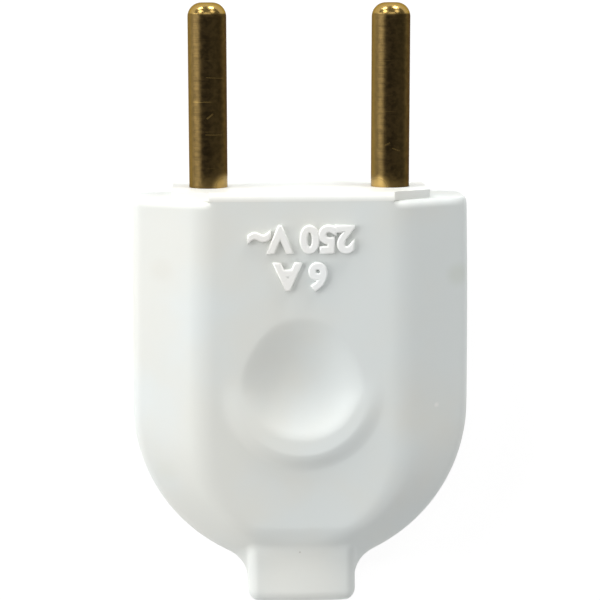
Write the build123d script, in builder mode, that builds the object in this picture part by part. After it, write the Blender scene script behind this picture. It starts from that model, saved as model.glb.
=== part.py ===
from build123d import *
import os
from math import acos, asin, atan2, cos, degrees, hypot, sin, sqrt, tan

# Rewirable flat two-pin plug. A one-piece moulded shell, with a finger hollow on each
# flat face and a square cord stub, is closed at its mouth by a moulded pin carrier. The
# carrier holds two round brass pins with their terminal screws, and a cord clamp.
#
# Frame: the origin is the middle of the pin face, +Y runs along the pins, +X to the
# right of the front face and +Z out of it. The plug lies on its flat back. Millimetres.
# A depth is counted from the pin face into the plug, along -Y.

os.makedirs("parts", exist_ok=True)

# Pins: the standard pattern of two round pins
pin_diameter = 4.0
pin_pitch = 19.0
pin_length = 19.0
pin_tip_radius = 1.45
pin_neck_diameter = 3.6
barrel_diameter = 5.0
barrel_length = 9.4
barrel_side_wall = 0.65
barrel_inner_wall = 0.4
barrel_cover = 0.2
barrel_shoulder_depth = 2.6
wire_hole_diameter = 2.6
wire_hole_depth = 6.2

# Shell, outside
body_half_top = 17.3
body_end_radius = 17.6
body_end_centre = -22.9
body_thickness = 13.0
edge_thickness = 6.0
edge_bevel_share = 0.08
edge_bevel_drop = 0.65
plateau_half_top = 10.1
plateau_end_radius = 10.5
plateau_end_centre = -26.6
plateau_radius = 6.0
rim_depth = 0.9
front_wall = 1.85

# Shell, cord stub
stub_width = 11.3
stub_thickness = 9.4
stub_length = 3.1
stub_corner_radius = 1.1
stub_end_radius = 0.8
stub_root_radius = 3.4
stub_root_inset = 0.5
stub_root_thinning = 0.58
stub_straight = 1.8
cord_hole_diameter = 6.5
cord_hole_lead = 0.4

# Shell, finger hollows and the raised lip round the lower half of the front one
hollow_centre = -19.2
hollow_radius = 6.15
hollow_depth = 1.9
hollow_edge_bevel = 0.76
lip_centre = -20.2
lip_ring_radius = 6.25
lip_bead_radius = 1.9
lip_rise_bottom = 0.9
lip_sink_top = 0.9

# Shell, inside
mouth_slope_beyond_pin = 0.7
mouth_slope_drop = 1.25
chamber_end_gap = 1.2
wiring_wall = 4.6
hollow_wall = 1.75
snap_half_width = 2.0
snap_depth_top = 6.0
snap_length = 2.6
snap_reach = 0.45
snap_clearance = 0.1

# Pin carrier
ear_seat = 0.65
ear_inset = 0.45
ear_side_seat = 0.45
flange_edge_radius = 0.75
flush_half_width = 9.4
carrier_clearance = 0.05
pin_clearance = 0.05
clamp_bay_back_wall = 1.65
clamp_bay_top_depth = 3.4

# Screws
terminal_thread_diameter = 2.5
terminal_head_diameter = 4.0
terminal_head_height = 1.2
terminal_head_gap = 0.1
terminal_screw_depth = 8.0
terminal_screw_tip = 0.55
terminal_window_clearance = 0.2
clamp_thread_diameter = 2.4
clamp_head_diameter = 3.6
clamp_head_height = 1.3
clamp_post_gap = 0.05
clamp_screw_tip = -2.5
pilot_bottom_gap = 0.2
thread_clearance = 0.05
slot_width = 0.7
slot_depth = 0.7

# Cord clamp
clamp_centre_depth = 10.2
clamp_post_diameter = 3.7
clamp_post_top = 0.6
clamp_bar_width = 3.2
clamp_bar_thickness = 1.6
clamp_bar_end_clearance = 0.2
clamp_bar_hole_clearance = 0.1
clamp_nib_side_gap = 0.55
clamp_nib_height = 0.8

# Worked-out places
pin_x = pin_pitch / 2
rim_y = -rim_depth
half_body = body_thickness / 2
half_edge = edge_thickness / 2
stub_end = body_end_centre - body_end_radius - stub_length
slope_rise = half_body - half_edge
slope_run = body_end_radius - plateau_end_radius
slope_angle = atan2(slope_rise, slope_run)
bend_reach = plateau_radius * tan(slope_angle / 2)
barrel_end_depth = barrel_shoulder_depth + barrel_length
spigot_depth = barrel_end_depth + barrel_cover
chamber_depth = spigot_depth + chamber_end_gap
mouth_half_width = pin_x + barrel_diameter / 2 + barrel_side_wall
mouth_half_depth = half_body - front_wall
mouth_slope_start = pin_x + mouth_slope_beyond_pin
mouth_half_side = mouth_half_depth - mouth_slope_drop
wiring_half_depth = half_body - hollow_depth - hollow_wall
wiring_end_radius = body_end_radius - wiring_wall
wiring_bottom = body_end_centre - wiring_end_radius
flange_half_width = mouth_half_width + ear_seat
flange_half_side = mouth_half_side + ear_side_seat
clamp_bay_half_width = pin_x - barrel_diameter / 2 - barrel_inner_wall
clamp_bay_floor = clamp_bay_back_wall - mouth_half_depth
clamp_screw_half_pitch = clamp_bay_half_width - clamp_post_diameter / 2 - clamp_post_gap
clamp_nib_half_width = clamp_screw_half_pitch - clamp_post_diameter / 2 - clamp_nib_side_gap
clamp_bar_top = clamp_post_top + clamp_bar_thickness


def tongue(top_half, end_radius, end_centre, top_y):
    """A flat top, two straight sides and a round end that the sides meet without a corner."""
    rise = top_y - end_centre
    turn = atan2(rise, top_half) - acos(end_radius / hypot(top_half, rise))
    side = (end_radius * cos(turn), end_centre + end_radius * sin(turn))
    mirrored = (-side[0], side[1])
    with BuildSketch() as outline:
        with BuildLine():
            Polyline(mirrored, (-top_half, top_y), (top_half, top_y), side)
            ThreePointArc(side, (0, end_centre - end_radius), mirrored)
        make_face()
    return outline.sketch


def slope_section(share):
    """The body's outline at a share of the way from the outer edge to the flat face."""
    top_half = body_half_top + share * (plateau_half_top - body_half_top)
    end_radius = body_end_radius + share * (plateau_end_radius - body_end_radius)
    end_centre = body_end_centre + share * (plateau_end_centre - body_end_centre)
    return tongue(top_half, end_radius, end_centre, rim_y)


def hexagon(half_width, half_depth, slope_start, half_side):
    """A plan seen along the pins: a flat front and back, and sloping corners to two short sides."""
    right = [(slope_start, half_depth), (half_width, half_side)]
    right += [(x, -z) for x, z in reversed(right)]
    left = [(-x, z) for x, z in reversed(right)]
    with BuildSketch() as outline:
        with BuildLine():
            Polyline(*right, *left, close=True)
        make_face()
    return outline.sketch


def cheese_head_screw(centre, seat, tip, thread_diameter, head_diameter, head_height):
    """A slotted screw that points down: its head stands on the height called seat."""
    with BuildPart() as screw:
        with BuildSketch(Plane.XY.offset(seat)):
            with Locations(centre):
                Circle(head_diameter / 2)
        extrude(amount=head_height)
        chamfer(screw.edges().sort_by(Axis.Z)[-1], length=head_height / 6)
        with BuildSketch(Plane.XY.offset(seat)):
            with Locations(centre):
                Circle(thread_diameter / 2 - thread_clearance)
        extrude(amount=tip - seat)
        with BuildSketch(Plane.XY.offset(seat + head_height)):
            with Locations(centre):
                Rectangle(slot_width, head_diameter)
        extrude(amount=-slot_depth, mode=Mode.SUBTRACT)
    return screw


# Shell: a one-piece moulding. A slab carries the outline, a bevel eases its edge, and a
# smooth loft runs up the slope and bends into the flat face. Share 0 is the outline, and
# share 1 is where the slope would meet the flat face without the bend.
bend_start = 1 - bend_reach * cos(slope_angle) / slope_run
bend_middle = 1 + (bend_reach - plateau_radius * sin(slope_angle / 2)) / slope_run
bend_end = 1 + bend_reach / slope_run
bend_middle_drop = plateau_radius * (1 - cos(slope_angle / 2))
slope_sections = [(share, half_edge + share * slope_rise) for share in (edge_bevel_share, bend_start / 2, bend_start)]
slope_sections += [(bend_middle, half_body - bend_middle_drop), (bend_end, half_body)]
with BuildPart() as shell:
    slab_half = half_edge - edge_bevel_drop
    with BuildSketch(Plane.XY):
        add(slope_section(0))
    extrude(amount=slab_half, both=True)
    for side in (1, -1):
        with BuildSketch(Plane.XY.offset(side * slab_half)):
            add(slope_section(0))
        with BuildSketch(Plane.XY.offset(side * slope_sections[0][1])):
            add(slope_section(edge_bevel_share))
        loft(ruled=True)
        for share, level in slope_sections:
            with BuildSketch(Plane.XY.offset(side * level)):
                add(slope_section(share))
        loft()

    # The cord stub is a box with rounded corners, and its root flares into the round end at
    # the sides. The flare thins as it widens, so that it ends inside the body.
    stub_root = plateau_end_centre - plateau_end_radius + stub_corner_radius
    with BuildSketch(Plane.XZ.offset(-stub_root)):
        RectangleRounded(stub_width, stub_thickness, stub_corner_radius)
    extrude(amount=stub_root - stub_end)
    fillet(shell.faces().sort_by(Axis.Y)[0].edges(), radius=stub_end_radius)
    for share in (0, 0.4, 0.7, 0.92):
        spread = stub_root_radius * (1 - sqrt(1 - share**2))
        half_depth = stub_thickness / 2 - stub_root_inset - stub_root_thinning * spread
        with BuildSketch(Plane.XZ.offset(-stub_end - stub_straight - share * stub_root_radius)):
            RectangleRounded(stub_width + 2 * spread, 2 * half_depth, stub_corner_radius)
    loft()

    # Finger hollows, front and back, with eased rims
    ball_radius = (hollow_radius**2 + hollow_depth**2) / (2 * hollow_depth)
    for side in (1, -1):
        with Locations((0, hollow_centre, side * (half_body - hollow_depth + ball_radius))):
            Sphere(ball_radius, rotation=(90, 0, 0), mode=Mode.SUBTRACT)
        chamfer(shell.edges(Select.NEW), length=hollow_edge_bevel)

    # The lip is a ring of round bead, tilted so that it rises out of the front below the
    # hollow and sinks away above it. The hollow's ball trims its inner side.
    bead_low = half_body + lip_rise_bottom - lip_bead_radius
    bead_high = half_body - lip_sink_top - lip_bead_radius
    lip_tilt = -degrees(asin((bead_low - bead_high) / (2 * lip_ring_radius)))
    with Locations(Location((0, lip_centre, (bead_low + bead_high) / 2), (lip_tilt, 0, 0))):
        Torus(lip_ring_radius, lip_bead_radius)
    with Locations((0, hollow_centre, half_body - hollow_depth + ball_radius)):
        Sphere(ball_radius, rotation=(90, 0, 0), mode=Mode.SUBTRACT)

    # Inside: the carrier's chamber, the flatter wiring space between the hollows, and the
    # round cord hole through the stub
    with BuildSketch(Plane.XZ.offset(rim_depth)):
        add(hexagon(mouth_half_width, mouth_half_depth, mouth_slope_start, mouth_half_side))
    extrude(amount=chamber_depth - rim_depth, mode=Mode.SUBTRACT)
    with BuildSketch(Plane.XY):
        add(tongue(mouth_half_width, wiring_end_radius, body_end_centre, -chamber_depth))
    extrude(amount=wiring_half_depth, both=True, mode=Mode.SUBTRACT)
    with BuildSketch(Plane.XZ.offset(-wiring_bottom)):
        Circle(cord_hole_diameter / 2)
    extrude(amount=wiring_bottom - stub_end, mode=Mode.SUBTRACT)
    chamfer(shell.faces().sort_by(Axis.Y)[0].edges().filter_by(GeomType.CIRCLE), length=cord_hole_lead)

    # Pockets in the side walls that the carrier's snaps click into
    pocket_low = -(snap_depth_top + snap_length + snap_clearance)
    pocket_high = -(snap_depth_top - snap_clearance)
    pocket_width = snap_reach + snap_clearance
    for side in (1, -1):
        with Locations((side * mouth_half_width, (pocket_low + pocket_high) / 2, 0)):
            Box(2 * pocket_width, pocket_high - pocket_low, 2 * (snap_half_width + snap_clearance),
                mode=Mode.SUBTRACT)
shell.part.label = "shell"
export_step(shell.part, "parts/shell.step")


# Pin carrier: a moulded insert. Its face plate closes the mouth, flush with the flat faces
# in the middle, and its two ears stand on the shell's shoulders.
with BuildPart() as pin_carrier:
    with BuildSketch(Plane.XZ):
        add(hexagon(flange_half_width, half_body - ear_inset, flush_half_width, flange_half_side))
        Rectangle(2 * flush_half_width, body_thickness)
    extrude(amount=rim_depth)
    long_edges = pin_carrier.faces().sort_by(Axis.Y)[-1].edges().group_by(SortBy.LENGTH)[-1]
    fillet(long_edges, radius=flange_edge_radius)

    # Spigot that fills the mouth
    with BuildSketch(Plane.XZ.offset(rim_depth)):
        add(hexagon(mouth_half_width - carrier_clearance, mouth_half_depth - carrier_clearance,
                    mouth_slope_start, mouth_half_side - carrier_clearance))
    extrude(amount=spigot_depth - rim_depth)

    # Pin holes, with a wider pocket behind each for the terminal barrel
    with BuildSketch(Plane.XZ):
        with Locations((-pin_x, 0), (pin_x, 0)):
            Circle(pin_diameter / 2 + pin_clearance)
    extrude(amount=barrel_shoulder_depth, mode=Mode.SUBTRACT)
    with BuildSketch(Plane.XZ.offset(barrel_shoulder_depth)):
        with Locations((-pin_x, 0), (pin_x, 0)):
            Circle(barrel_diameter / 2 + pin_clearance)
    extrude(amount=spigot_depth - barrel_shoulder_depth, mode=Mode.SUBTRACT)

    # Windows in the front for the terminal screws
    with BuildSketch(Plane.XY):
        with Locations((-pin_x, -terminal_screw_depth), (pin_x, -terminal_screw_depth)):
            Circle(terminal_head_diameter / 2 + terminal_window_clearance)
    extrude(amount=mouth_half_depth, mode=Mode.SUBTRACT)

    # Bay between the barrels for the end of the cord, with two posts for the clamp bar
    bay_length = spigot_depth - clamp_bay_top_depth
    with BuildSketch(Plane.XY.offset(clamp_bay_floor)):
        with Locations((0, -clamp_bay_top_depth - bay_length / 2)):
            Rectangle(2 * clamp_bay_half_width, bay_length)
    extrude(amount=mouth_half_depth - clamp_bay_floor, mode=Mode.SUBTRACT)
    post_places = [(-clamp_screw_half_pitch, -clamp_centre_depth), (clamp_screw_half_pitch, -clamp_centre_depth)]
    with BuildSketch(Plane.XY.offset(clamp_bay_floor)):
        with Locations(*post_places):
            Circle(clamp_post_diameter / 2)
    extrude(amount=clamp_post_top - clamp_bay_floor)
    with BuildSketch(Plane.XY.offset(clamp_post_top)):
        with Locations(*post_places):
            Circle(clamp_thread_diameter / 2)
    extrude(amount=clamp_screw_tip - pilot_bottom_gap - clamp_post_top, mode=Mode.SUBTRACT)

    # Snaps on the two short sides: square towards the pins and sloping the other way
    for side in (1, -1):
        foot = side * (mouth_half_width - carrier_clearance)
        with BuildSketch(Plane.XY):
            with BuildLine():
                Polyline((foot, -snap_depth_top), (foot + side * snap_reach, -snap_depth_top),
                         (foot, -snap_depth_top - snap_length), close=True)
            make_face()
        extrude(amount=snap_half_width, both=True)
pin_carrier.part.label = "pin_carrier"
export_step(pin_carrier.part, "parts/pin_carrier.step")


# Pins: turned from brass rod. The contact is round-ended, a thinner neck passes the face
# plate, and the thicker barrel behind it takes the wire's end under a screw.
for name, x in (("left_pin", -pin_x), ("right_pin", pin_x)):
    with BuildPart() as pin:
        with BuildSketch(Plane.XY):
            with BuildLine():
                Polyline((x, pin_length), (x, -barrel_end_depth), (x + barrel_diameter / 2, -barrel_end_depth),
                         (x + barrel_diameter / 2, -barrel_shoulder_depth),
                         (x + pin_neck_diameter / 2, -barrel_shoulder_depth),
                         (x + pin_neck_diameter / 2, 0), (x + pin_diameter / 2, 0),
                         (x + pin_diameter / 2, pin_length), close=True)
            make_face()
        revolve(axis=Axis((x, 0, 0), (0, 1, 0)))
        fillet(pin.edges().sort_by(Axis.Y)[-1], radius=pin_tip_radius)
        with BuildSketch(Plane.XZ.offset(barrel_end_depth - wire_hole_depth)):
            with Locations((x, 0)):
                Circle(wire_hole_diameter / 2)
        extrude(amount=wire_hole_depth, mode=Mode.SUBTRACT)
        with BuildSketch(Plane.XY):
            with Locations((x, -terminal_screw_depth)):
                Circle(terminal_thread_diameter / 2)
        extrude(amount=barrel_diameter, mode=Mode.SUBTRACT)
    pin.part.label = name
    export_step(pin.part, f"parts/{name}.step")


# Terminal screws: their heads sit in the carrier's windows, which also keeps the pins in
for name, x in (("left_terminal_screw", -pin_x), ("right_terminal_screw", pin_x)):
    screw = cheese_head_screw((x, -terminal_screw_depth), barrel_diameter / 2 + terminal_head_gap,
                              terminal_screw_tip, terminal_thread_diameter, terminal_head_diameter,
                              terminal_head_height)
    screw.part.label = name
    export_step(screw.part, f"parts/{name}.step")


# Cord clamp: a moulded bar on the two posts, with a nib that presses on the cord
with BuildPart() as cord_clamp_bar:
    bar_half = clamp_bay_half_width - clamp_bar_end_clearance
    with BuildSketch(Plane.XY.offset(clamp_post_top)):
        with Locations((0, -clamp_centre_depth)):
            RectangleRounded(2 * bar_half, clamp_bar_width, clamp_bar_width / 4)
        with Locations(*post_places):
            Circle(clamp_thread_diameter / 2 + clamp_bar_hole_clearance, mode=Mode.SUBTRACT)
    extrude(amount=clamp_bar_thickness)
    with BuildSketch(Plane.XY.offset(clamp_post_top)):
        with Locations((0, -clamp_centre_depth)):
            Rectangle(2 * clamp_nib_half_width, clamp_bar_width / 2)
    extrude(amount=-clamp_nib_height, taper=10)
cord_clamp_bar.part.label = "cord_clamp_bar"
export_step(cord_clamp_bar.part, "parts/cord_clamp_bar.step")


# Clamp screws: they cut their own thread in the posts
for name, place in (("left_clamp_screw", post_places[0]), ("right_clamp_screw", post_places[1])):
    screw = cheese_head_screw(place, clamp_bar_top, clamp_screw_tip, clamp_thread_diameter,
                              clamp_head_diameter, clamp_head_height)
    screw.part.label = name
    export_step(screw.part, f"parts/{name}.step")
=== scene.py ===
import math

import bpy
import numpy as np
from mathutils import Matrix, Vector


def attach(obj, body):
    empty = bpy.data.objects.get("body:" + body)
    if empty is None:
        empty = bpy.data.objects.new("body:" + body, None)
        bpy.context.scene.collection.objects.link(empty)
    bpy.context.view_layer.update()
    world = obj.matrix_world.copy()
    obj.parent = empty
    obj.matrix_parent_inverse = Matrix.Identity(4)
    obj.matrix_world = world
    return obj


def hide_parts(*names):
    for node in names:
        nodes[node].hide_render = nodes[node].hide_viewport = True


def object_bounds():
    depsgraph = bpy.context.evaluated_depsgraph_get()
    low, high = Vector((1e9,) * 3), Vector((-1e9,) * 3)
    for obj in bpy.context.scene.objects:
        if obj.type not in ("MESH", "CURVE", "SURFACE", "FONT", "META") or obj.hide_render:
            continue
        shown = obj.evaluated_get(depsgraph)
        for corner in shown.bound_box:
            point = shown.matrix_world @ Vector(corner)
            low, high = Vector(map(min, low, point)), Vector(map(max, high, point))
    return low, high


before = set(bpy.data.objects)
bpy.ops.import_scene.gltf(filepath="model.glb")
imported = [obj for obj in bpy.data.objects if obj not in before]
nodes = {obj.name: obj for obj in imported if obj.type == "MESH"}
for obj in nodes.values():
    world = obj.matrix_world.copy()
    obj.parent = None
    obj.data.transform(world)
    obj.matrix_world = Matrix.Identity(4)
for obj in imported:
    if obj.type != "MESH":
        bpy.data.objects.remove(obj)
cad_low, cad_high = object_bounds()
scene = bpy.context.scene
scene.view_settings.view_transform = "Standard"


# Camera
# A long lens looks down on the plug as it lies on its back. It leans a little to the
# pins' side and a little to the left, so that the pin face shows as a thin strip.
def aim_camera(target, distance, lean, turn, roll):
    """Places the camera on a sphere round the target: lean tips it towards the pins, turn swings
    it to the left, and roll turns the picture about the line of sight. World Y stays up."""
    back = np.array([-math.sin(turn) * math.cos(lean), math.sin(lean), math.cos(turn) * math.cos(lean)])
    right = np.cross([0.0, 1.0, 0.0], back)
    right /= np.linalg.norm(right)
    up = np.cross(back, right)
    tilted_right = math.cos(roll) * right + math.sin(roll) * up
    tilted_up = math.cos(roll) * up - math.sin(roll) * right
    axes = Matrix([tilted_right, tilted_up, back]).transposed().to_4x4()
    return Matrix.Translation(Vector(np.array(target) + distance * back)) @ axes


sensor_width = 36.0
focal_pixels = 1785.19
picture_width = 600
lens = bpy.data.cameras.new("camera")
lens.sensor_fit = "HORIZONTAL"
lens.sensor_width = sensor_width
lens.lens = focal_pixels * sensor_width / picture_width
lens.clip_start = 0.01
lens.clip_end = 20.0
camera = bpy.data.objects.new("camera", lens)
camera_target = (0.0000488, -0.0120776, 0.0)
camera_distance = 0.188861
camera_lean = 0.1658
camera_turn = 0.0436
camera_roll = -0.0014
camera.matrix_world = aim_camera(camera_target, camera_distance, camera_lean, camera_turn, camera_roll)
scene.collection.objects.link(camera)
scene.camera = camera


# Ground
# A plain white ground that the plug lies on. The camera and the pins' mirroring see it as
# pure white with a faint shadow. All other light finds an ordinary pale surface.
def square_sheet(name, half_size, height):
    """A flat square round the origin at one height."""
    corners = [(-half_size, -half_size, height), (half_size, -half_size, height),
               (half_size, half_size, height), (-half_size, half_size, height)]
    mesh = bpy.data.meshes.new(name)
    mesh.from_pydata(corners, [], [(0, 1, 2, 3)])
    return mesh


def add_node(tree, kind, **settings):
    """Adds a node and sets its properties, or its inputs where the name is a socket's."""
    node = tree.nodes.new(kind)
    for key, value in settings.items():
        if key in node.inputs:
            node.inputs[key].default_value = value
        else:
            setattr(node, key, value)
    return node


ground_half_size = 3.0
ground_level = cad_low[2]
ground_glow = 0.86
pale_grey = (0.8, 0.8, 0.8, 1.0)
shadow_grey = (0.25, 0.25, 0.25, 1.0)
plain_white = (1.0, 1.0, 1.0, 1.0)
ground = bpy.data.objects.new("ground", square_sheet("ground", ground_half_size, ground_level))
scene.collection.objects.link(ground)
ground_paint = bpy.data.materials.new("ground_white")
ground_paint.use_nodes = True
tree = ground_paint.node_tree
tree.nodes.clear()
light_path = add_node(tree, "ShaderNodeLightPath")
camera_or_glossy = add_node(tree, "ShaderNodeMath", operation="MAXIMUM")
seen_directly = add_node(tree, "ShaderNodeMath", operation="MAXIMUM")
tree.links.new(light_path.outputs["Is Camera Ray"], camera_or_glossy.inputs[0])
tree.links.new(light_path.outputs["Is Glossy Ray"], camera_or_glossy.inputs[1])
tree.links.new(camera_or_glossy.outputs[0], seen_directly.inputs[0])
tree.links.new(light_path.outputs["Is Transmission Ray"], seen_directly.inputs[1])
ordinary = add_node(tree, "ShaderNodeBsdfDiffuse", Color=pale_grey)
faint_shadow = add_node(tree, "ShaderNodeBsdfDiffuse", Color=shadow_grey)
glow = add_node(tree, "ShaderNodeEmission", Color=plain_white, Strength=ground_glow)
glow_and_shadow = add_node(tree, "ShaderNodeAddShader")
choice = add_node(tree, "ShaderNodeMixShader")
output = add_node(tree, "ShaderNodeOutputMaterial")
tree.links.new(glow.outputs[0], glow_and_shadow.inputs[0])
tree.links.new(faint_shadow.outputs[0], glow_and_shadow.inputs[1])
tree.links.new(seen_directly.outputs[0], choice.inputs[0])
tree.links.new(ordinary.outputs[0], choice.inputs[1])
tree.links.new(glow_and_shadow.outputs[0], choice.inputs[2])
tree.links.new(choice.outputs[0], output.inputs["Surface"])
ground.data.materials.append(ground_paint)


# Light
# Soft studio lamps. Two small ones beyond the pins make the bright spots on the round tips,
# a large one stands at the left, and weak ones fill in the slopes and the hollow. The side
# of the camera stays dim, so that the pins' middles are dark.
def soft_lamp(name, direction, distance, width, height, watts):
    """A rectangular lamp that faces the middle of the plug from the given direction."""
    lamp = bpy.data.lights.new(name, "AREA")
    lamp.shape = "RECTANGLE"
    lamp.size = width
    lamp.size_y = height
    lamp.energy = watts
    holder = bpy.data.objects.new(name, lamp)
    way = Vector(direction).normalized()
    facing = way.to_track_quat("Z", "Y").to_matrix().to_4x4()
    holder.matrix_world = Matrix.Translation(plug_middle + distance * way) @ facing
    scene.collection.objects.link(holder)


plug_middle = Vector((0.0, -0.012, 0.0))
room_light = 0.12
soft_lamp("lamp_over_pins", (0.0, 0.42, 0.90), 1.0, 0.7, 0.3, 1.4)
soft_lamp("lamp_beyond_pins_left", (-0.46, 0.88, 0.09), 0.9, 0.28, 0.24, 2.7)
soft_lamp("lamp_beyond_pins_right", (0.30, 0.94, 0.13), 0.9, 0.28, 0.24, 3.5)
soft_lamp("lamp_beyond_left", (-0.56, 0.65, 0.51), 0.9, 0.3, 0.3, 1.5)
soft_lamp("lamp_beyond_right", (0.45, 0.65, 0.55), 0.9, 0.3, 0.3, 0.7)
soft_lamp("lamp_left", (-0.95, 0.10, 0.30), 0.8, 0.5, 0.7, 5.2)
soft_lamp("lamp_cord_side", (0.0, -0.80, 0.60), 0.9, 0.8, 0.4, 0.7)
soft_lamp("lamp_right_cord_side", (0.60, -0.60, 0.50), 0.9, 0.5, 0.5, 1.9)
world = bpy.data.worlds.new("studio")
world.use_nodes = True
world.node_tree.nodes["Background"].inputs["Color"].default_value = plain_white
world.node_tree.nodes["Background"].inputs["Strength"].default_value = room_light
scene.world = world


# Shell
# A one-piece white thermoplastic moulding that the hand holds, pulled off its core at the
# pins' end. Its outside has the finger hollows and the square cord stub. The sizes are in
# millimetres.
def smooth_max(a, b, width):
    """The larger of a and b, rounded off by a parabola where they differ by less than width."""
    overlap = np.maximum(width - np.abs(a - b), 0.0) / width
    return np.maximum(a, b) + overlap**2 * width / 4


def smooth_min(a, b, width):
    """The smaller of a and b, rounded off in the same way."""
    return -smooth_max(-a, -b, width)


def smooth_step(low, high, value):
    """Rises from 0 at low to 1 at high with level ends."""
    t = np.clip((value - low) / (high - low), 0.0, 1.0)
    return t * t * (3 - 2 * t)


rim_y = -0.9
rim_round = 0.8
flush_half_width = 9.3
rounded_half_width = 9.9
side_sharpness = 0.65
side_start = 15.6
side_full = 17.3
half_body = 6.5
half_edge = 3.0
outline_radius = 17.6
outline_centre = -22.9
outline_taper = 0.3
flat_radius = 10.5
flat_centre = -26.6
flat_taper = 0.4
flat_rounding = 0.66
edge_rounding = 0.85
stub_half_width = 5.65
stub_root_depth = 5.6
stub_end_depth = 5.8
stub_crown = 0.35
stub_corner = 1.1
stub_sunk = 1.5
stub_drop_start = -35.0
stub_drop_end = -38.6
stub_end = -43.6
stub_end_round = 1.2
stub_join_side = 2.3
stub_join_front = 0.55
stub_join_start = 3.2
stub_join_full = 4.6
ball_radius = 11.9
ball_y = -18.5
ball_z = 17.15
ball_flat_share = 0.70
ball_wall_share = 0.0055
ball_narrowing = 1.4
narrowing_start = -21.0
narrowing_full = -13.5
ball_lower_length = 0.915
ball_upper_length = 1.30
length_start = -20.5
length_full = -16.5
lower_softness = 0.25
upper_softness = 1.5
softness_start = -24.0
softness_full = -15.0
back_ball_radius = 10.90
back_ball_y = -19.2
back_ball_z = 15.50
back_softness = 0.45
no_ball = 50.0
lip_centre = -20.4
lip_level_y = -19.6
lip_level_softness = 1.2
lip_slope = 0.09
lip_foot = 8.8
lip_brow = 6.7
tiny = 1e-9


def flat_level(y):
    """Height of the plain flat, which sinks a little towards the cord stub."""
    sunk = smooth_step(-stub_drop_start, -stub_drop_end, -y)
    return half_body - (half_body - stub_root_depth) * sunk


def front_height(x, y):
    """Height of the front flat. A disc round the lower half of the hollow is raised on a tilt and
    falls to the flat over its outer flank, and a ball is taken out of it. Across x the ball is
    flatter in its middle and steeper at its sides, and its upper half is narrowed and shortened."""
    reach = np.hypot(x, y - lip_centre)
    tilt = lip_slope * smooth_max(lip_level_y - y, 0.0 * y, lip_level_softness)
    flat = flat_level(y) + tilt * (1 - smooth_step(lip_brow, lip_foot, reach))
    across = ball_flat_share * x**2 + ball_wall_share * x**4
    across *= 1 + ball_narrowing * smooth_step(narrowing_start, narrowing_full, y)
    upper = smooth_step(length_start, length_full, y)
    along = (y - ball_y) * (ball_lower_length + (ball_upper_length - ball_lower_length) * upper)
    inside = np.maximum(ball_radius**2 - across - along**2, 0.0)
    ball = np.where(inside > 0, ball_z - np.sqrt(inside), no_ball)
    softening = smooth_step(softness_start, softness_full, y)
    return smooth_min(flat, ball, lower_softness + (upper_softness - lower_softness) * softening)


def back_height(x, y):
    """Height of the back flat below the middle plane, with its finger hollow."""
    inside = np.maximum(back_ball_radius**2 - x**2 - (y - back_ball_y)**2, 0.0)
    ball = np.where(inside > 0, back_ball_z - np.sqrt(inside), no_ball)
    return smooth_min(flat_level(y) + 0.0 * x, ball, back_softness)


def body_field(x, y, z):
    """Below zero inside the body and above it outside. The flats, the slope and the outline are
    three fields that meet in rounded edges. The slope's share t goes from 0 on the outline to 1 on
    the flat's border: by straight sides above the round end, and by the circle between the two
    end circles that passes through the point below it."""
    outline_reach = np.maximum(y - outline_centre, 0) / (rim_y - outline_centre)
    flat_reach = np.maximum(y - flat_centre, 0) / (rim_y - flat_centre)
    half_outline = outline_radius - outline_taper * outline_reach**2
    half_flat = flat_radius - flat_taper * flat_reach**2
    straight = (half_outline - np.abs(x)) / (half_outline - half_flat)
    shift = flat_centre - outline_centre
    shrink = flat_radius - outline_radius
    below = y - outline_centre
    square = shift**2 - shrink**2
    linear = -2 * below * shift - 2 * outline_radius * shrink
    constant = x**2 + below**2 - outline_radius**2
    root = np.sqrt(np.maximum(linear**2 - 4 * square * constant, 0.0))
    curved = (-linear + root) / (2 * square)
    share = np.where(y >= outline_centre + shift * straight, straight, curved)
    downward = np.clip(-below / np.maximum(np.hypot(x, below), tiny), 0.0, 1.0)
    run = (outline_radius - flat_radius) + shift * downward
    rise = half_body - half_edge
    slope = (np.abs(z) - half_edge - rise * share) * run / np.hypot(run, rise)
    flat = np.where(z >= 0, z - front_height(x, y), -z - back_height(x, y))
    round_end = np.hypot(x, below) - outline_radius
    outline = np.where(y > outline_centre, np.abs(x) - half_outline, round_end)
    return smooth_max(smooth_max(flat, slope, flat_rounding), outline, edge_rounding)


def shell_field(x, y, z):
    """The body joined with the stub, a box with rounded corners whose front and back are crowned
    and stand further out at its end. The join is wide at its sides and narrow at its front."""
    outward = np.clip((stub_drop_end - y) / (stub_drop_end - stub_end), 0.0, 1.0)
    sunk = stub_sunk * smooth_step(stub_drop_end, stub_drop_start, y)
    stub_depth = flat_level(y) + (stub_end_depth - stub_root_depth) * outward
    stub_depth -= stub_crown * (x / stub_half_width)**2 + sunk
    side = np.abs(x) - stub_half_width + stub_corner
    face = np.abs(z) - stub_depth + stub_corner
    stub = np.hypot(np.maximum(side, 0), np.maximum(face, 0)) + np.minimum(np.maximum(side, face), 0)
    towards_front = smooth_step(stub_join_start, stub_join_full, np.abs(z))
    join = stub_join_side - (stub_join_side - stub_join_front) * towards_front
    return smooth_min(body_field(x, y, z), stub - stub_corner, join)


nearest_skin = 2.0
farthest_skin = 24.0
halvings = 44


def rays_to_skin(angles, y, inset):
    """Distance from the middle axis to the skin along each ray of a row, by halving the span in
    which the field passes through minus the inset. Rows run down and angles run across, and the
    inset may differ between them."""
    across = np.sin(angles)[None, :]
    up = np.cos(angles)[None, :]
    rows = y[:, None] + 0 * across
    low = np.full(rows.shape, nearest_skin)
    high = np.full(rows.shape, farthest_skin)
    for _ in range(halvings):
        middle = (low + high) / 2
        outside = shell_field(middle * across, rows, middle * up) > -inset
        high = np.where(outside, middle, high)
        low = np.where(outside, low, middle)
    return (low + high) / 2


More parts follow.
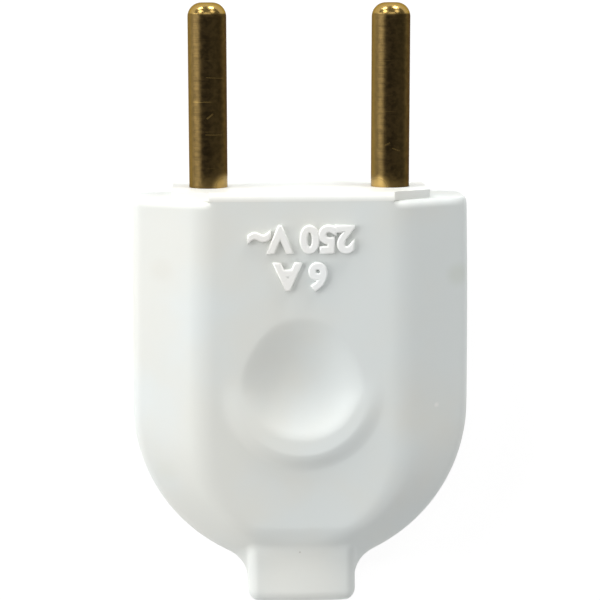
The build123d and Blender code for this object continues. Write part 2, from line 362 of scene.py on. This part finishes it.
def spaced(stops):
    """Values from the first stop to the last, each stretch divided into its own number of steps."""
    parts = [np.linspace(a[0], b[0], b[1] + 1)[1:] for a, b in zip(stops[:-1], stops[1:])]
    return np.concatenate([[stops[0][0]]] + parts)


def rays_round_section(outline):
    """Angles of the rays, close together where a section of the body bends. The points are laid
    along the section's outline, from the middle of the front to the middle of the back. Each
    stop is a point and the number of steps that lead to it."""
    points = [np.array([outline[0][0]])]
    for (start, _), (end, steps) in zip(outline[:-1], outline[1:]):
        share = np.linspace(0, 1, steps + 1)[1:, None]
        points.append(np.array(start) * (1 - share) + np.array(end) * share)
    x, z = np.concatenate(points).T
    half = np.arctan2(x, z)
    return np.concatenate([half, 2 * np.pi - half[1:-1][::-1]])


def ray_to_box(angles, half_width, half_depth):
    """Distance to a rectangle's border along each ray."""
    return np.minimum(half_width / np.maximum(np.abs(np.sin(angles)), tiny),
                      half_depth / np.maximum(np.abs(np.cos(angles)), tiny))


mouth_half_width = 12.65
mouth_half_depth = 4.65
mouth_half_side = 3.4
mouth_slope_start = 10.2
mouth_floor = -13.4


def ray_to_mouth(angles):
    """Distance to the border of the mouth: a rectangle whose corners are cut by a slope."""
    box = ray_to_box(angles, mouth_half_width, mouth_half_depth)
    fall = (mouth_half_depth - mouth_half_side) / (mouth_half_width - mouth_slope_start)
    level = mouth_half_depth + fall * mouth_slope_start
    slope = level / (np.abs(np.cos(angles)) + fall * np.abs(np.sin(angles)))
    return np.minimum(box, slope)


def closed_ring_mesh(name, radius, y, angles):
    """A mesh from rows of rays round the Y axis. Both the rows and the rays join up at their ends,
    so the surface is closed like a ring. Given in millimetres and built in metres."""
    x = radius * np.sin(angles)[None, :]
    z = radius * np.cos(angles)[None, :]
    points = np.stack([x, np.broadcast_to(y[:, None], x.shape), z], axis=-1).reshape(-1, 3) / 1000
    rows, columns = radius.shape
    row = np.arange(rows)[:, None]
    column = np.arange(columns)[None, :]
    here = row * columns + column
    right = row * columns + (column + 1) % columns
    above = ((row + 1) % rows) * columns + column
    above_right = ((row + 1) % rows) * columns + (column + 1) % columns
    quads = np.stack([here, right, above_right, above], axis=-1).reshape(-1, 4)
    mesh = bpy.data.meshes.new(name)
    mesh.from_pydata(points.tolist(), [], quads.tolist())
    mesh.update()
    return mesh


section_outline = [
    ((0.0, 6.5), 0), ((8.4, 6.5), 54), ((11.6, 5.8), 12), ((16.0, 3.65), 9), ((17.5, 2.2), 10),
    ((17.6, -2.2), 7), ((16.0, -3.65), 10), ((11.6, -5.8), 9), ((8.4, -6.5), 12), ((0.0, -6.5), 36),
]
skin_stops = [
    (stub_end + stub_end_round, 0), (-41.2, 7), (-37.0, 52), (-33.0, 24), (-29.5, 14), (-25.2, 36),
    (-12.6, 68), (-2.4, 22), (rim_y - rim_round, 6),
]
end_steps = 6
rim_steps = 7
cord_hole_radius = 3.25
cord_hole_lead_radius = 3.65
cord_hole_lead_y = -43.2
cord_hole_inner_y = -35.9
wiring_half_width = 13.0
wiring_least_half_width = 3.3
wiring_half_depth = 2.85
wiring_stops = [(mouth_floor, 0), (outline_centre, 4), (-34.5, 12)]
crease_angle = math.radians(38)

angles = rays_round_section(section_outline)
ring = np.ones_like(angles)
skin_y = spaced(skin_stops)
skin = rays_to_skin(angles, skin_y, 0.0)

end_turn = np.linspace(np.pi / 2, 0, end_steps + 1)[:-1]
end_y = stub_end + stub_end_round * (1 - np.sin(end_turn))
end_rows = rays_to_skin(angles, end_y, stub_end_round * (1 - np.cos(end_turn))[:, None])

rim_turn = np.linspace(0, np.pi / 2, rim_steps + 1)[1:]
rim_rows_y = rim_y - rim_round * (1 - np.sin(rim_turn))
rim_reach = np.abs(skin[-1] * np.sin(angles))
rounded = smooth_step(flush_half_width, rounded_half_width, rim_reach)
rounded *= 1 - side_sharpness * smooth_step(side_start, side_full, rim_reach)
rim_rows = rays_to_skin(angles, rim_rows_y, rim_round * (1 - np.cos(rim_turn))[:, None] * rounded)

mouth = ray_to_mouth(angles)
wiring_y = spaced(wiring_stops)
round_wiring = np.sqrt(np.maximum(wiring_half_width**2 - (wiring_y - outline_centre)**2,
                                  wiring_least_half_width**2))
wiring_half = np.where(wiring_y > outline_centre, wiring_half_width, round_wiring)
wiring = [ray_to_box(angles, half, wiring_half_depth) for half in wiring_half]

# The rows run from the inner end of the cord hole out to the stub's end, over the skin to the
# rim, and back through the mouth and the wiring room to the cord hole.
radius = np.stack([
    cord_hole_radius * ring, cord_hole_radius * ring, cord_hole_lead_radius * ring,
    (cord_hole_lead_radius * ring + end_rows[0]) / 2, *end_rows, *skin, *rim_rows,
    (rim_rows[-1] + mouth) / 2, mouth, mouth, *wiring,
])
row_y = np.concatenate([
    [cord_hole_inner_y, cord_hole_lead_y, stub_end, stub_end], end_y, skin_y, rim_rows_y,
    [rim_y, rim_y, mouth_floor], wiring_y,
])
shell_mesh = closed_ring_mesh("shell_moulding", radius, row_y, angles)
shell = bpy.data.objects.new("shell_moulding", shell_mesh)
scene.collection.objects.link(shell)
shell.data.shade_smooth()
shell.data.set_sharp_from_angle(angle=crease_angle)


def mix_colours(tree, share, first, second):
    """A colour between two, by a share that is an output. Each colour is a value or an output."""
    mix = tree.nodes.new("ShaderNodeMix")
    mix.data_type = "RGBA"
    tree.links.new(share, mix.inputs["Factor"])
    first_colour, second_colour = mix.inputs[6], mix.inputs[7]
    for socket, colour in ((first_colour, first), (second_colour, second)):
        if isinstance(colour, tuple):
            socket.default_value = (*colour, 1.0)
        else:
            tree.links.new(colour, socket)
    return mix.outputs[2]


def remap(tree, value, low, high, start, end):
    """Maps a value from one span to another, with soft ends."""
    span = add_node(tree, "ShaderNodeMapRange", interpolation_type="SMOOTHSTEP")
    for name, number in (("From Min", low), ("From Max", high), ("To Min", start), ("To Max", end)):
        span.inputs[name].default_value = number
    tree.links.new(value, span.inputs["Value"])
    return span.outputs["Result"]


def noise(tree, place, scale, detail, stretch=(1.0, 1.0, 1.0)):
    """Noise on the object's own coordinates, in waves for each metre."""
    mapping = add_node(tree, "ShaderNodeMapping")
    mapping.inputs["Scale"].default_value = stretch
    texture = add_node(tree, "ShaderNodeTexNoise", Scale=scale, Detail=detail)
    tree.links.new(place, mapping.inputs["Vector"])
    tree.links.new(mapping.outputs[0], texture.inputs["Vector"])
    return texture.outputs["Fac"]


depth_share = 0.25
core_share = 0.2


def near(tree, place, centre, radius):
    """One at a place in millimetres and zero beyond its radius. Depth counts for less."""
    offset = add_node(tree, "ShaderNodeVectorMath", operation="SUBTRACT")
    offset.inputs[1].default_value = [value / 1000 for value in centre]
    flattened = add_node(tree, "ShaderNodeVectorMath", operation="MULTIPLY")
    flattened.inputs[1].default_value = (1.0, 1.0, depth_share)
    length = add_node(tree, "ShaderNodeVectorMath", operation="LENGTH")
    tree.links.new(place, offset.inputs[0])
    tree.links.new(offset.outputs[0], flattened.inputs[0])
    tree.links.new(flattened.outputs[0], length.inputs[0])
    return remap(tree, length.outputs["Value"], core_share * radius / 1000, radius / 1000, 1.0, 0.0)


warm_tint = (1.0, 0.985, 0.95)
cool_tint = (0.985, 1.01, 1.02)
gloss_drift = 0.05


def moulded_plastic(name, colour, roughness, marks=()):
    """Moulded plastic: a fine grain and slow waves in its relief, a slow drift of its colour and
    gloss, and marks, each with its place, radius, colour and strength."""
    material = bpy.data.materials.new(name)
    material.use_nodes = True
    tree = material.node_tree
    shader = tree.nodes["Principled BSDF"]
    place = add_node(tree, "ShaderNodeTexCoord").outputs["Object"]
    warm = tuple(value * share for value, share in zip(colour, warm_tint))
    cool = tuple(value * share for value, share in zip(colour, cool_tint))
    drift = noise(tree, place, scale=70.0, detail=3.0)
    painted = mix_colours(tree, remap(tree, drift, 0.35, 0.65, 0.0, 1.0), warm, cool)
    for centre, radius, shade, strength in marks:
        share = add_node(tree, "ShaderNodeMath", operation="MULTIPLY")
        share.inputs[1].default_value = strength
        tree.links.new(near(tree, place, centre, radius), share.inputs[0])
        painted = mix_colours(tree, share.outputs[0], painted, shade)
    tree.links.new(painted, shader.inputs["Base Color"])
    sheen = noise(tree, place, scale=160.0, detail=4.0)
    gloss = remap(tree, sheen, 0.3, 0.7, roughness - gloss_drift, roughness + gloss_drift)
    tree.links.new(gloss, shader.inputs["Roughness"])
    waves = add_node(tree, "ShaderNodeBump", Strength=0.5, Distance=0.00004)
    grain = add_node(tree, "ShaderNodeBump", Strength=0.4, Distance=0.000012)
    tree.links.new(noise(tree, place, scale=110.0, detail=2.0), waves.inputs["Height"])
    tree.links.new(noise(tree, place, scale=2600.0, detail=3.0), grain.inputs["Height"])
    tree.links.new(waves.outputs["Normal"], grain.inputs["Normal"])
    tree.links.new(grain.outputs["Normal"], shader.inputs["Normal"])
    return material


shell_white = (0.80, 0.82, 0.80)
shell_roughness = 0.45
fleck_brown = (0.16, 0.13, 0.09)
fleck_white = (0.93, 0.93, 0.90)
stain_tan = (0.66, 0.62, 0.52)
stain_green = (0.52, 0.56, 0.42)
stain_yellow = (0.70, 0.70, 0.58)
stub_painted_light = (0.90, 0.905, 0.85)
# Specks and stains of the plastic, and one patch of painted light over the stub.
specks_stains_and_painted_light = [
    ((-0.24, -38.0, 5.6), 0.13, fleck_brown, 0.9),
    ((14.1, -22.5, 4.6), 0.35, fleck_white, 0.8),
    ((9.7, -30.6, 5.2), 0.30, fleck_white, 0.8),
    ((-14.4, -8.1, 4.4), 1.8, stain_tan, 0.14),
    ((16.3, -8.9, 3.5), 1.7, stain_green, 0.2),
    ((-14.2, -29.4, 3.9), 1.9, stain_yellow, 0.14),
    # A paler patch over the stub is painted light that brightens it.
    ((0.0, -41.5, 5.8), 7.5, stub_painted_light, 0.75),
]
white_plastic = moulded_plastic("white_plastic", shell_white, shell_roughness, specks_stains_and_painted_light)
shell.data.materials.append(white_plastic)
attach(shell, "root")
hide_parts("shell")


# Pin carrier
# A white thermoplastic insert that closes the mouth and holds the pins. It slides in from
# the pins' end and snaps into the shell. It is painted slightly paler than the shell, as
# painted light on its brightly lit pin face.
def dress(node, material):
    """Gives a CAD node one material."""
    node.data.materials.clear()
    node.data.materials.append(material)


# The carrier's paler white is painted light for its brightly lit pin face.
carrier_painted_white = (0.90, 0.905, 0.875)
dress(nodes["pin_carrier"], moulded_plastic("carrier_plastic", carrier_painted_white, shell_roughness))


# Rating
# Generic raised figures stand 0.4 mm above the front flat, where a plug has such marks. They
# are moulded in one with the shell, with eased edges, and their faces are painted paler as a
# painted highlight for the light they catch.
def raised_line(name, words, letter_size, middle):
    """One line of raised letters as a mesh, turned half round to read from the pins' side."""
    curve = bpy.data.curves.new(name, "FONT")
    curve.body = words
    curve.size = letter_size / 1000
    curve.align_x = "CENTER"
    curve.align_y = "CENTER"
    curve.offset = stroke_widening / 1000
    curve.extrude = letter_half_straight / 1000
    curve.bevel_depth = letter_bevel / 1000
    curve.bevel_resolution = 2
    maker = bpy.data.objects.new(name + "_maker", curve)
    mesh = bpy.data.meshes.new_from_object(maker)
    bpy.data.objects.remove(maker)
    turned = Matrix.Translation(Vector(middle) / 1000) @ Matrix.Rotation(math.pi, 4, "Z")
    mesh.transform(turned)
    letters = bpy.data.objects.new(name, mesh)
    scene.collection.objects.link(letters)
    return letters


figure_size = 3.6
letter_half_straight = 0.08
letter_bevel = 0.16
stroke_widening = 0.07
rating_x = -0.1
rating_z = half_body + 0.18
# The figures' near-white colour is a painted highlight.
raised_painted_white = (1.0, 1.0, 0.985)
raised_roughness = 0.3
raised_plastic = moulded_plastic("raised_plastic", raised_painted_white, raised_roughness)
for name, words, rating_y in (("rating_current", "6 A", -8.4), ("rating_voltage", "250 V~", -4.6)):
    letters = raised_line(name, words, figure_size, (rating_x, rating_y, rating_z))
    letters.data.materials.clear()
    letters.data.materials.append(raised_plastic)
    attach(letters, "root")


# Pins
# Round-ended 4 mm pins turned from brass rod. A dark brown patina covers them. It is worn off
# on the round tips and crossed by turning lines and fine scratches. Their left side and edges are
# painted paler as painted reflections of the lamp at the left and the ground, and each has a painted
# golden patch at its base, a reflection of the white shell.
full_depth_share = 0.8


def scratch(tree, place, start, end, half_width):
    """One along a short straight scratch between two points in millimetres, seen from the front."""
    a = np.array(start) / 1000
    b = np.array(end) / 1000
    along = (b - a) / np.linalg.norm(b - a)
    turned = add_node(tree, "ShaderNodeMapping", vector_type="TEXTURE")
    turned.inputs["Location"].default_value = (*((a + b) / 2), 0.0)
    turned.inputs["Rotation"].default_value = (0.0, 0.0, math.atan2(along[1], along[0]))
    parts = add_node(tree, "ShaderNodeSeparateXYZ")
    tree.links.new(place, turned.inputs["Vector"])
    tree.links.new(turned.outputs[0], parts.inputs[0])
    lengthwise = add_node(tree, "ShaderNodeMath", operation="ABSOLUTE")
    sideways = add_node(tree, "ShaderNodeMath", operation="ABSOLUTE")
    tree.links.new(parts.outputs["X"], lengthwise.inputs[0])
    tree.links.new(parts.outputs["Y"], sideways.inputs[0])
    half_length = np.linalg.norm(b - a) / 2
    fade_start = full_depth_share * half_length
    both = add_node(tree, "ShaderNodeMath", operation="MULTIPLY")
    tree.links.new(remap(tree, lengthwise.outputs[0], fade_start, half_length, 1.0, 0.0), both.inputs[0])
    tree.links.new(remap(tree, sideways.outputs[0], 0.0, half_width / 1000, 1.0, 0.0), both.inputs[1])
    return both.outputs[0]


pin_half_pitch = 9.5
dark_patina = (0.036, 0.024, 0.010)
brown_patina = (0.070, 0.046, 0.018)
bare_brass = (0.47, 0.315, 0.10)
grazing_tint = (0.45, 0.36, 0.22, 1.0)
patina_roughness = 0.40
bare_roughness = 0.20
metal_share = 0.9
reflection_patch_metal_share = 0.25


def worn_brass(name, middle, scratches, base_reflection):
    """Brass whose patina is worn by its place on the pin and by noise, and which has painted reflections
    on its sides and at its base. The largest of all shares, worn or painted, counts. Places across the
    pin are measured from its middle, in millimetres."""
    material = bpy.data.materials.new(name)
    material.use_nodes = True
    tree = material.node_tree
    shader = tree.nodes["Principled BSDF"]
    place = add_node(tree, "ShaderNodeTexCoord").outputs["Object"]
    parts = add_node(tree, "ShaderNodeSeparateXYZ")
    tree.links.new(place, parts.inputs[0])
    blotches = noise(tree, place, 2200.0, 5.0, stretch=(0.8, 1.0, 0.8))
    streaks = noise(tree, place, 900.0, 3.0, stretch=(2.2, 0.12, 2.2))
    turning_lines = noise(tree, place, 400.0, 4.0, stretch=(0.6, 22.0, 0.6))

    def across_pin(start, end, most):
        """A painted reflection that grows from zero to most between two places across the pin."""
        return remap(tree, parts.outputs["X"], (middle + start) / 1000, (middle + end) / 1000, 0.0, most)

    def along_pin(start, end, most):
        """A share that grows from zero to most between two places along the pin: real wearing at the
        tip, a painted reflection at the base.
        """
        return remap(tree, parts.outputs["Y"], start / 1000, end / 1000, 0.0, most)

    # Painted reflection: the left side is painted paler where the lamp at the left shows in the metal.
    painted_left_reflection = add_node(tree, "ShaderNodeMath", operation="MULTIPLY")
    tree.links.new(across_pin(-0.5, -1.0, 0.12), painted_left_reflection.inputs[0])
    tree.links.new(remap(tree, turning_lines, 0.32, 0.62, 0.55, 1.15), painted_left_reflection.inputs[1])
    round_tip = along_pin(17.7, 18.0, 0.9)
    # Painted reflection of the white shell near the base of the pin.
    painted_base_reflection = along_pin(2.0, 0.2, 0.16)
    # Painted reflections at the pin's edges: the lamp at the left on the left edge, the ground on the
    # right.
    painted_left_edge_reflection = across_pin(-1.2, -1.95, 0.46)
    painted_right_edge_reflection = across_pin(-0.1, 0.9, 0.10)
    long_streaks = remap(tree, streaks, 0.62, 0.8, 0.0, 0.14)
    bright_lines = remap(tree, turning_lines, 0.64, 0.76, 0.0, 0.3)
    # A painted golden patch at the base, a reflection of the white shell.
    base_reflection_patch = near(tree, place, *base_reflection)
    wear_and_reflections = [round_tip, painted_base_reflection, painted_left_edge_reflection, painted_right_edge_reflection, long_streaks, bright_lines, base_reflection_patch]
    wear_and_reflections += [scratch(tree, place, *ends) for ends in scratches]
    worn_and_reflected = painted_left_reflection.outputs[0]
    for share in wear_and_reflections:
        larger = add_node(tree, "ShaderNodeMath", operation="MAXIMUM")
        tree.links.new(worn_and_reflected, larger.inputs[0])
        tree.links.new(share, larger.inputs[1])
        worn_and_reflected = larger.outputs[0]
    patina = mix_colours(tree, remap(tree, blotches, 0.35, 0.65, 0.0, 1.0), dark_patina, brown_patina)
    tree.links.new(mix_colours(tree, worn_and_reflected, patina, bare_brass), shader.inputs["Base Color"])
    gloss = remap(tree, worn_and_reflected, 0.0, 1.0, patina_roughness, bare_roughness)
    tree.links.new(gloss, shader.inputs["Roughness"])
    # The painted base patch is less metallic, so that it shows as a pale golden patch.
    metal = remap(tree, base_reflection_patch, 0.0, 1.0, metal_share, reflection_patch_metal_share)
    tree.links.new(metal, shader.inputs["Metallic"])
    shader.inputs["Specular Tint"].default_value = grazing_tint
    relief = add_node(tree, "ShaderNodeBump", Strength=0.15, Distance=0.00001)
    tree.links.new(turning_lines, relief.inputs["Height"])
    tree.links.new(relief.outputs["Normal"], shader.inputs["Normal"])
    return material


# Each scratch is its start, its end and its half width. Each painted base reflection is its place and
# radius.
left_scratches = [
    ((-9.62, 7.15), (-8.92, 7.70), 0.11),
    ((-9.7, 11.4), (-7.9, 11.3), 0.05),
    ((-10.0, 8.9), (-9.1, 8.9), 0.06),
    ((-9.8, 5.55), (-8.0, 5.5), 0.06),
]
right_scratches = [
    ((8.75, 4.35), (9.3, 4.65), 0.07),
    ((9.5, 4.1), (10.3, 3.8), 0.07),
]
# Each pin's base patch is a painted reflection of the white shell.
left_base_reflection = ((-7.8, 0.1, 1.1), 1.8)
right_base_reflection = ((8.1, 0.0, 1.4), 1.7)
left_brass = worn_brass("worn_brass_left", -pin_half_pitch, left_scratches, left_base_reflection)
right_brass = worn_brass("worn_brass_right", pin_half_pitch, right_scratches, right_base_reflection)
dress(nodes["left_pin"], left_brass)
dress(nodes["right_pin"], right_brass)


# Screws
# Small zinc-plated steel screws with slotted heads, cut on a lathe: two in the pins' barrels
# and two that hold the clamp bar.
bright_steel = (0.52, 0.53, 0.54)
yellowish_steel = (0.66, 0.65, 0.60)


def plated_steel(name):
    """Dull bright steel with slight clouds in its gloss."""
    material = bpy.data.materials.new(name)
    material.use_nodes = True
    tree = material.node_tree
    shader = tree.nodes["Principled BSDF"]
    place = add_node(tree, "ShaderNodeTexCoord").outputs["Object"]
    clouds = noise(tree, place, scale=900.0, detail=4.0)
    tree.links.new(mix_colours(tree, clouds, bright_steel, yellowish_steel), shader.inputs["Base Color"])
    tree.links.new(remap(tree, clouds, 0.3, 0.7, 0.24, 0.38), shader.inputs["Roughness"])
    shader.inputs["Metallic"].default_value = 1.0
    return material


screw_steel = plated_steel("screw_steel")
for name in ("left_terminal_screw", "right_terminal_screw", "left_clamp_screw", "right_clamp_screw"):
    dress(nodes[name], screw_steel)


# Cord clamp bar
# A moulded bar with a nib that presses on the cord. Its thermoplastic is slightly greyer
# than the shell's.
clamp_grey = (0.70, 0.72, 0.70)
clamp_roughness = 0.5
dress(nodes["cord_clamp_bar"], moulded_plastic("clamp_plastic", clamp_grey, clamp_roughness))
